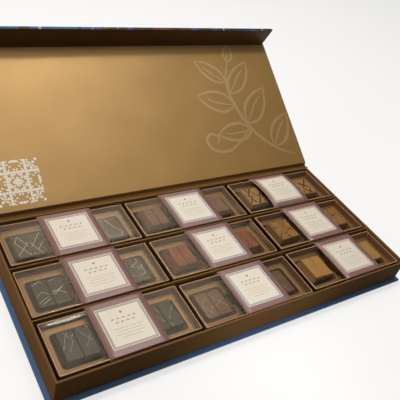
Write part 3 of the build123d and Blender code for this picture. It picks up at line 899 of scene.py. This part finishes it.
def build_clear_lid(name, sheets, seed, sag, hollow):
    """The clear lid: a folded skirt, folds whitened by stretching and by a painted highlight, a low bead
    inside them, and a slack top. A hollow lowers the left part of the top, in a slope along the rear edge
    that catches a soft crescent of light."""
    low, high = box_mm(f"{name}_clear_lid")
    fold, bead, bead_width = 0.6, 0.12, 1.2
    taut_edge, sag_reach, least_sag = 1.8, 4.0, 0.35
    hollow_edge, hollow_reach, hollow_middle, hollow_width = 0.9, 4.2, 24, 17

    def dip(x, y):
        along = (x - low[0] - hollow_middle) / hollow_width
        return hollow * min(hollow_reach, max(0.0, high[1] - y - hollow_edge)) * math.exp(-along ** 2)

    profile = [(0.0, low[2]), (0.0, high[2] - 6), (0.0, high[2] - bead - fold)]
    profile += [(fold - px, high[2] - bead - fold + pz) for px, pz in arc(0, 0, fold, 0, 90, 3)][1:]
    folded = len(profile)
    profile += [(inset, high[2]) for inset in (1.2, 1.8, 2.6, 3.6, 5.0, 7.0, 10.0, 14.0, 19.0, 24.5)]
    rings = profile_rings((low[0], high[0]), (low[1], high[1]), 0.9, profile, 3, 16)
    slack = rings[:folded]
    for ring, (inset, z) in zip(rings[folded:], profile[folded:]):
        rise = bead * max(0.0, 1 - (inset - fold) / bead_width)
        drop = sag * (1 - math.exp(-max(0.0, inset - taut_edge) / sag_reach))
        slack.append([(x, y, z - rise - drop * (least_sag + ripple(x, y, 34.0, 1.3, seed)) - dip(x, y))
                      for x, y, _ in ring])
    points, faces = lofted(slack, last=True)
    # Finishes from the skirt inward: clear skirt, folds whitened by stretching and a painted highlight,
    # stretched edge, clear top
    strips = [0] * 2 + [1] * (folded - 3) + [2] * 6 + [0] * 5
    which = [strips[k // len(rings[0])] for k in range(len(faces))]
    made = piece(f"{name}_clear_cover", points, faces, sheets, which, crease=60)
    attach(made, f"{name}_box")
    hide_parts(f"{name}_clear_lid")


def bar_mesh(x0, y0, low, top, seed, taper, side, lean):
    """One praline bar: a slight foot down in the well, slopes above it on all sides but its neighbour's, and
    eased edges."""
    w, d = BAR_SIZE
    h, r = top - low, 1.0
    end_share, meet = 0.45, 0.12
    unevenness, hill = 0.14, 6
    shoulder = min(h * 0.6, FLANGE_TOP - low - 0.8)
    above = h - r - shoulder
    # Insets and heights up the side, from the foot in the well to the eased top
    profile = [(0.25, 0.0), (-0.3, 0.5), (-0.3, shoulder * 0.5), (-0.25, shoulder - 1.0), (-0.1, shoulder)]
    profile += [(0.0, shoulder + above * 0.5), (0.0, h - r)]
    profile += [(r + px, h - r + pz) for px, pz in arc(0, 0, r, 158, 90, 3)]
    profile += [(2.1, h + 0.02), (3.2, h + 0.04), (4.4, h + 0.05)]
    rings = []
    for inset, z in profile:
        slope = taper * min(1.0, max(0.0, z - shoulder) / above)
        near = end_share * slope
        x = (inset + slope, w + meet - inset) if side == 0 else (inset - meet, w - slope - inset)
        ring = outline(x, (inset + near, d - near - inset), 1.0 - inset, 3, 6)
        rings.append([(px, py, z) for px, py in ring])
    points, faces = lofted(rings, True, True)
    middle = Vector((w / 2, d / 2, 0))
    turn = Matrix.Rotation(math.radians(lean), 4, "Z")
    placed = []
    for p in points:
        v = Vector(p)
        rough = noise.noise_vector(Vector((v.x / hill, v.y / hill, v.z / hill + seed * 7.3))) * unevenness
        v = turn @ (v + rough - middle) + middle
        placed.append((v.x + x0, v.y + y0, v.z + low))
    return placed, faces


def build_pralines(name, finish, seed, taper):
    """Six bars, two side by side in each well."""
    low, high = box_mm(f"{name}_pralines")
    dice = random.Random(seed)
    parts = []
    for well in range(3):
        for side in range(2):
            x0 = low[0] + well * WELL_PITCH + side * (BAR_SIZE[0] + BAR_GAP)
            y0, top = low[1] + dice.uniform(-0.5, 0.2), high[2] - dice.uniform(0.0, 0.35)
            lean = dice.uniform(-0.7, 0.7)
            parts.append(bar_mesh(x0, y0, low[2], top, seed + well + side * 0.5, taper, side, lean))
    points, faces = joined(parts)
    made = piece(f"{name}_bars", points, faces, finish, crease=50)
    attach(made, f"{name}_box")
    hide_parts(f"{name}_pralines")


def thread(way, width, knob, top):
    """A drizzled thread lying on a bar: half sunk, tapering ends, and a small knob at the far end of some."""
    stride, wander, bend, height = 1.6, 0.3, 9, 0.32
    knob_swell, end_swell = 2.0, 0.35
    path = [way[0]]
    for (xa, ya), (xb, yb) in zip(way, way[1:]):
        steps = max(2, round(math.hypot(xb - xa, yb - ya) / stride))
        path += [(xa + (xb - xa) * k / steps, ya + (yb - ya) * k / steps) for k in range(1, steps + 1)]
    path = [(x + wander * noise.noise(Vector((x / bend, y / bend, 1.0))),
             y + wander * noise.noise(Vector((x / bend, y / bend, 9.0)))) for x, y in path]
    rings = []
    last = len(path) - 1
    for k, (x, y) in enumerate(path):
        (xa, ya), (xb, yb) = path[max(0, k - 1)], path[min(last, k + 1)]
        length = math.hypot(xb - xa, yb - ya) or 1.0
        nx, ny = -(yb - ya) / length, (xb - xa) / length
        swell = 0.85 + 0.3 * noise.noise(Vector((x / 3, y / 3, 4.0)))
        if knob and k > last - 2:
            swell = knob_swell
        if k in (0, last):
            swell *= end_swell
        half = 0.5 * width * swell
        rings.append([(x + nx * half * math.cos(math.radians(t)), y + ny * half * math.cos(math.radians(t)),
                       top + height * swell * math.sin(math.radians(t)))
                      for t in (0, 45, 90, 135, 180, 270)])
    return lofted(rings, True, True)


def build_drizzle(name, finish, width, knob, seed, taper):
    """Drizzled threads across the tops of the bars, those under the band made up like the rest."""
    low, high = box_mm(f"{name}_pralines")
    dice = random.Random(seed)
    ways = list(DRIZZLE[name])
    pair, margin, under_band = 2 * BAR_SIZE[0] + BAR_GAP, 0.8, 5
    inset = 0.5 + taper
    for _ in range(under_band):
        x, y = WELL_PITCH + dice.uniform(2, 24), dice.uniform(3, 24)
        ways.append([(x, y), (x + dice.uniform(-9, 3), y - dice.uniform(3, 12))])
    parts = []
    for way in ways:
        well = min(2, int((way[0][0] + 6) // WELL_PITCH)) * WELL_PITCH
        held = [(low[0] + min(well + pair - inset, max(well + inset, x)),
                 low[1] + min(BAR_SIZE[1] - margin, max(margin, y))) for x, y in way]
        parts.append(thread(held, width, knob, high[2]))
    points, faces = joined(parts)
    made = piece(f"{name}_drizzle", points, faces, finish, crease=60)
    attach(made, f"{name}_box")


def band_rise(y, y0, y1, arch):
    """How far a band's top stands above its folds."""
    return arch * (1 - ((2 * y - y0 - y1) / (y1 - y0)) ** 2)


def build_band(name, papers, arch):
    """Paper band with its printed label. The loop is one sheet, but a high arch, which a closing lid would
    press down, is a sheet of its own."""
    low, high = box_mm(f"{name}_band")
    r, overlap, side, inner = 0.6, 12, 3, 8
    y0, y1, z0, z1 = low[1], high[1], low[2], high[2]
    lx, ly = LABEL_INSET
    xs = sorted({low[0], high[0], *(low[0] + lx + m for m in LABEL_LINES),
                 *(high[0] - lx - m for m in LABEL_LINES)})
    front = [(y, z0) for y in (y0 + overlap, y0 + r)]
    front += [(y0 + r + py, z0 + r + pz) for py, pz in arc(0, 0, r, 270, 180, 3)][1:]
    front += [(y0 + r + py, z1 - r + pz) for py, pz in arc(0, 0, r, 180, 90, 3)]
    tops = sorted({y0 + side, y1 - side, *(y0 + ly + m for m in LABEL_LINES),
                   *(y1 - ly - m for m in LABEL_LINES), *evenly(y0 + inner, y1 - y0 - 2 * inner, 8)})
    tops = [(y, z1 + band_rise(y, y0, y1, arch)) for y in tops]
    rear = [(y1 - r + py, z1 - r + pz) for py, pz in arc(0, 0, r, 90, 0, 3)]
    rear += [(y1 - r + py, z0 + r + pz) for py, pz in arc(0, 0, r, 0, -90, 3)] + [(y0 + overlap, z0 - 0.02)]
    if arch > HIGH_ARCH:
        sheets = {"paper_band": [front, rear], "band_arch": [[front[-1], *tops, rear[0]]]}
    else:
        sheets = {"paper_band": [[*front, *tops, *rear]]}
    for part, paths in sheets.items():
        points, faces = joined([swept(path, xs) for path in paths])
        which = []
        for face in faces:
            x, y, z = (sum(points[i][k] for i in face) / len(face) for k in range(3))
            inset = min(x - low[0] - lx, high[0] - lx - x, y - y0 - ly, y1 - ly - y)
            inked = LABEL_LINES[1] < inset < LABEL_LINES[2] or LABEL_LINES[3] < inset < LABEL_LINES[4]
            which.append(0 if inset < 0 or z < z1 - 1 else 2 if inked else 1)
        made = piece(f"{name}_{part}", points, faces, papers, which)
        thicken(made, -1.0, rim=3)
        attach(made, f"{name}_box")
        if part == "paper_band":
            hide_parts(f"{name}_band")
        else:
            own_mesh(made)


def build_label_print(name, finish, faint, arch):
    """Small ornament inside a label's frame: chains of lozenges, and hairline rules below them."""
    low, high = box_mm(f"{name}_band")
    cx, y0, y1, top = (low[0] + high[0]) / 2, low[1], high[1], high[2]
    middle = (y0 + y1) / 2
    clear, pitch, rule_gap, rule_half = 0.04, 2.5, 3.0, 0.17

    def lozenge(x, y, half, tall):
        return [(x - half, y), (x, y - tall), (x + half, y), (x, y + tall)]

    inked = [lozenge(cx, middle + 13.0, 1.5, 1.7)]
    for y, count in ((middle + 7.2, 9), (middle + 3.4, 7)):
        for k in range(count):
            size = (0.55, 0.5) if k % 2 else (1.15, 1.1)
            inked.append(lozenge(cx + (k - (count - 1) / 2) * pitch, y, *size))
    hair = []
    for k, half in enumerate((13.5, 11.0, 13.0, 9.0)):
        y = middle - 2.6 - rule_gap * k
        for step in range(6):
            x = cx - half + step * half / 3
            hair.append([(x, y - rule_half), (x + half / 3, y - rule_half), (x + half / 3, y + rule_half),
                         (x, y + rule_half)])
    points, faces, which = [], [], []
    for kind, shapes in enumerate((inked, hair)):
        for shape in shapes:
            faces.append(list(range(len(points), len(points) + 4)))
            which.append(kind)
            points += [(x, y, top + band_rise(y, y0, y1, arch) + clear) for x, y in shape]
    made = piece(f"{name}_label_print", points, faces, [finish, faint], which)
    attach(made, f"{name}_box")
    if arch > HIGH_ARCH:
        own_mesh(made)


# Surround, floor, light and camera
def seen_rays(tree):
    """The ray kinds, and 1 for what is seen straight, in gloss or through the clear sheet, else 0."""
    rays = add(tree, "ShaderNodeLightPath")
    seen = rays.outputs["Is Camera Ray"]
    for sight in ("Is Glossy Ray", "Is Transmission Ray"):
        seen = add(tree, "ShaderNodeMath", {0: seen, 1: rays.outputs[sight]}, operation="MAXIMUM").outputs[0]
    return rays, seen


def build_world():
    """A surround that hardly lights the object: white to the eye, and in gloss a pale wall on the horizon."""
    world = bpy.data.worlds.new("studio")
    bpy.context.scene.world = world
    world.use_nodes = True
    tree = world.node_tree
    tree.nodes.clear()
    wall_low, wall_high, over_wall = 0.02, 0.14, 0.04
    rays, seen = seen_rays(tree)
    soft = add(tree, "ShaderNodeBackground", {"Color": ink("#F2EEE8"), "Strength": 0.07})
    way = add(tree, "ShaderNodeSeparateXYZ", {"Vector": add(tree, "ShaderNodeTexCoord").outputs["Generated"]})
    bright = add(tree, "ShaderNodeMapRange", {
        "Value": way.outputs["Z"], "From Min": wall_low, "From Max": wall_high, "To Min": 1.0,
        "To Max": over_wall}).outputs["Result"]
    for sight in ("Is Camera Ray", "Is Transmission Ray"):
        bright = add(tree, "ShaderNodeMath", {0: bright, 1: rays.outputs[sight]},
                     operation="MAXIMUM").outputs[0]
    white = add(tree, "ShaderNodeBackground", {"Color": ink("#FFFFFF"), "Strength": bright})
    both = add(tree, "ShaderNodeMixShader", {0: seen, 1: soft.outputs[0], 2: white.outputs[0]})
    add(tree, "ShaderNodeOutputWorld", {"Surface": both.outputs[0]})


def build_floor():
    """A matt grey floor that the eye and gloss see near white, with the object's soft shadow kept."""
    made, tree = new_finish("pale_floor")
    half, below, glow_share = 3000, -0.2, 0.66
    _, seen = seen_rays(tree)
    tone = add(tree, "ShaderNodeMix", {SHARE: seen, FIRST: ink("#646464"), SECOND: ink("#FDFDFD")},
               data_type="RGBA")
    matt = add(tree, "ShaderNodeBsdfDiffuse", {"Color": tone.outputs[MIXED]})
    glow = add(tree, "ShaderNodeEmission", {"Color": ink("#FFFFFF"), "Strength": 1.0})
    share = add(tree, "ShaderNodeMath", {0: seen, 1: glow_share}, operation="MULTIPLY")
    both = add(tree, "ShaderNodeMixShader", {0: share.outputs[0], 1: matt.outputs[0], 2: glow.outputs[0]})
    add(tree, "ShaderNodeOutputMaterial", {"Surface": both.outputs[0]})
    corners = [(x * half, y * half, below) for x, y in ((-1, -1), (1, -1), (1, 1), (-1, 1))]
    floor = piece("floor", corners, [[0, 1, 2, 3]], made)


def hang(name, light, place, aim, glints):
    """Puts a lamp in place and aims it; glints says whether it shows in gloss."""
    lamp = bpy.data.objects.new(name, light)
    lamp.location = [v * MM for v in place]
    lamp.rotation_euler = (Vector(aim) - Vector(place)).to_track_quat("-Z", "Y").to_euler()
    lamp.visible_glossy = glints
    bpy.context.scene.collection.objects.link(lamp)


def build_lamps():
    """The panels and lamps, and a soft narrow beam on the front wall."""
    for name, (place, aim, size, power, colour, glints) in LAMPS.items():
        light = bpy.data.lights.new(name, "AREA")
        light.shape = "RECTANGLE"
        light.size, light.size_y = (v * MM for v in size)
        light.energy = power
        light.color = ink(colour)[:3]
        hang(name, light, place, aim, glints)
    beam = bpy.data.lights.new("front_beam", "SPOT")
    beam.energy, beam.spot_size, beam.spot_blend = 2.4, math.radians(31), 1.0
    beam.shadow_soft_size = 0.05
    hang("front_beam", beam, (0, -460, 200), (0, -88, 10), False)


def build_camera():
    """The camera where the photograph was taken from."""
    data = bpy.data.cameras.new("view")
    data.sensor_width = 36.0
    data.lens = CAMERA_LENS
    data.clip_start = 0.02
    data.clip_end = 20.0
    eye = bpy.data.objects.new("view", data)
    turn = Matrix(CAMERA_AXES).transposed()
    eye.matrix_world = Matrix.Translation(Vector(CAMERA_PLACE) * MM) @ turn.to_4x4()
    bpy.context.scene.collection.objects.link(eye)
    bpy.context.scene.camera = eye


# The whole part
def finish_boards():
    """Finishes for the CAD pieces that keep their shape: the boards, magnets and plates under the paper."""
    boards = ("base_board", "spine_board", "tray_board", "lid_board", "flap_board")
    finishes = dict.fromkeys(boards, greyboard())
    finishes["flap_magnets"] = bright_metal("nickel_plated_magnet", "#B9B8B4", 0.25)
    finishes["front_wall_plates"] = bright_metal("rolled_steel_plate", "#8E9093", 0.4)
    for node, finish in finishes.items():
        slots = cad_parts[node].data.materials
        slots.clear()
        slots.append(finish)


def build_case():
    """Tray, cover, lid and flap, with the papers across their folds and the lid's printed motifs."""
    # Each gold paper: its light and deep tone, roughness, share of metal and strength of shine
    # The tray's wrap is a darker, matt copy of the gold lining paper: its dark tone is painted shade on the
    # tray's walls, and its last tone is painted for the light on the rim's top
    wrap = gold_paper("gold_wrap_paper_darkened_as_painted_shade", "#84623A", "#70532F", 0.7, 0.0, 0.04, painted_rim_tone="#705234")
    lid_gold = gold_paper("metallised_lining_paper", "#C09756", "#AE8649", 0.4, 0.5, 1.0)
    # The flap's lining and the fold to it use the lining paper made darker and duller, as painted shade
    painted_shade_flap_gold = gold_paper("lining_paper_darkened_as_painted_shade_on_flap", "#5E401E", "#503618", 0.5, 0.1, 0.2)
    groove_gold = gold_paper("shaded_hinge_paper", "#6A4724", "#583A1C", 0.6, 0.05, 0.15)
    strip_gold = gold_paper("gold_printed_partition_card", "#96703F", "#7E5C32", 0.5, 0.1, 0.25)
    flourish_gold = gold_paper("pale_gold_printed_line", "#D0AF7D", "#C2A26E", 0.4, 0.5, 1.0)
    white_ink = plain_paper("white_lid_print", "#F2ECE0", "#E6DFD2", 0.6)
    blue = plain_paper("blue_cover_paper", "#5275A2", "#446490", 0.5)
    printed = printed_paper()
    build_tray(wrap)
    build_partitions(strip_gold)
    build_base(blue, printed)
    build_lid(lid_gold, blue, printed)
    lid_print("lid_quilt_print", white_ink, quilt_square(x0=-185.2, up0=6.1, side=45, count=16))
    lid_print("lid_leaf_print", flourish_gold, leaf_spray())
    build_flap(painted_shade_flap_gold, printed)
    build_hinges(groove_gold, painted_shade_flap_gold, printed)


def build_boxes():
    """The nine small boxes, each with its carton, insert, bars, threads, clear lid, band and label."""
    veil_inset, veil_rough, hollow = 15, 0.25, 0.14
    card = gold_card()
    sheet = formed_sheet()
    # On the folds the pale veil is partly the sheet's stretch whitening and partly a painted highlight
    folds = [clear_sheet("whitened_polyester_fold_with_painted_highlight", 0.16, 0.16, (0, 1), 0.3, 6),
             clear_sheet("stretched_polyester_edge", 0.02, 0.02, (0, 1), 0.13, 14)]
    mauve = plain_paper("mauve_satin_paper", "#8E6C66", "#82615C", 0.36, 0.8)
    cream = plain_paper("cream_label_print", "#E8E1D3", "#DED6C7", 0.45)
    edge_paper = plain_paper("white_paper_cut_edge", "#EFE8E0", "#DDD4CA", 0.8)
    brown_print = plain_paper("soft_brown_label_ink", "#AE967C", "#A3896E", 0.6)
    faint_ink = plain_paper("faint_brown_hairline_ink", "#B7A78E", "#AC9B82", 0.6)
    frames = {"left": plain_paper("brown_frame_ink", "#5E4438", "#523A30", 0.6),
              "centre": plain_paper("lilac_frame_ink", "#6A6E9C", "#5E628E", 0.6),
              "right": plain_paper("peach_frame_ink", "#C08C64", "#B07C56", 0.6)}

    dark = chocolate("dark_chocolate_coating", "#524639", "#453A30")
    milk = chocolate("milk_chocolate_coating", "#7E5840", "#6E4A36")
    brushed = chocolate("milk_chocolate_brushed_with_copper_powder", "#86624A", "#74523E",
                        brushed="#A06044", underneath="#4C3628")
    copper = chocolate("milk_chocolate_thick_with_copper_powder", "#865034", "#72422C",
                       brushed="#C46A30", underneath="#422C1E")
    pale = chocolate("caramelised_white_chocolate", "#A87C42", "#946A34",
                     brushed="#BE9052", underneath="#3A2616")
    half_coated = chocolate("caramelised_white_chocolate_over_dark", "#C49858", "#B4894C",
                            underneath="#3E2A1A", foot=20.3)
    tan = chocolate("tan_white_chocolate_over_dark", "#BC8E54", "#A47C46", underneath="#4A2E18")
    white_thread = chocolate("white_chocolate_thread", "#A8A288", "#928D76")
    snowy_thread = chocolate("bright_white_chocolate_thread", "#D2D0C4", "#BCBAAC")
    pink_thread = chocolate("pink_white_chocolate_thread", "#CBAE9E", "#B4988A")
    gold_thread = chocolate("caramel_thread", "#C49A5E", "#B0884E")
    brown_thread = chocolate("thin_milk_chocolate_thread", "#4E3018", "#402612")
    black_thread = chocolate("dark_chocolate_thread", "#1E1612", "#16100C")

    # Each box: its bars and their taper, the thread over them and its width, the band's arch, the lid's sag,
    # and the share of the lid's veil, a static dusting and painted reflection haze, on its left and right
    # ends
    boxes = {
        "front_left": (dark, 0.4, white_thread, 0.75, 0.25, 0.25, 0.02, 0.02),
        "middle_left": (dark, 0.3, snowy_thread, 0.8, 0.25, 0.4, 0.05, 0.08),
        "back_left": (dark, 0.3, pink_thread, 1.1, 0.5, 0.5, 0.08, 0.22),
        "front_centre": (milk, 0.2, gold_thread, 0.65, 0.25, 0.3, 0.05, 0.01),
        "middle_centre": (copper, 3.2, None, 0.0, 0.2, 0.25, 0.05, 0.0),
        "back_centre": (brushed, 3.8, None, 0.0, 0.25, 0.35, 0.06, 0.02),
        "front_right": (half_coated, 2.0, None, 0.0, 0.2, 0.25, 0.0, 0.0),
        "middle_right": (pale, 1.3, brown_thread, 0.85, 0.25, 0.3, 0.0, 0.0),
        "back_right": (tan, 1.6, black_thread, 1.9, 3.4, 0.35, 0.02, 0.0),
    }
    for seed, (name, (bars, taper, line, width, arch, sag, *dust_and_painted_haze)) in enumerate(boxes.items(), 1):
        column = name.split("_")[1]
        nearest = name == "front_left"
        build_carton(name, card)
        build_insert(name, sheet)
        build_pralines(name, bars, seed, taper)
        if line:
            build_drizzle(name, line, width, nearest, seed, taper)
        low, high = box_mm(f"{name}_clear_lid")
        # Each lid's veil is a static dusting and painted reflection haze, laid from its left end to its right
        veil_span = (low[0] + veil_inset, high[0] - veil_inset)
        veil = clear_sheet(f"dusty_polyester_sheet_with_painted_haze_{seed}", *dust_and_painted_haze, veil_span, veil_rough)
        build_clear_lid(name, [veil, *folds], seed * 1.7, sag, hollow if nearest else 0.0)
        build_band(name, [mauve, cream, frames[column], edge_paper], arch)
        build_label_print(name, brown_print, faint_ink, arch)


bpy.context.scene.view_settings.view_transform = "Standard"
finish_boards()
build_case()
build_boxes()
build_world()
build_floor()
build_lamps()
build_camera()
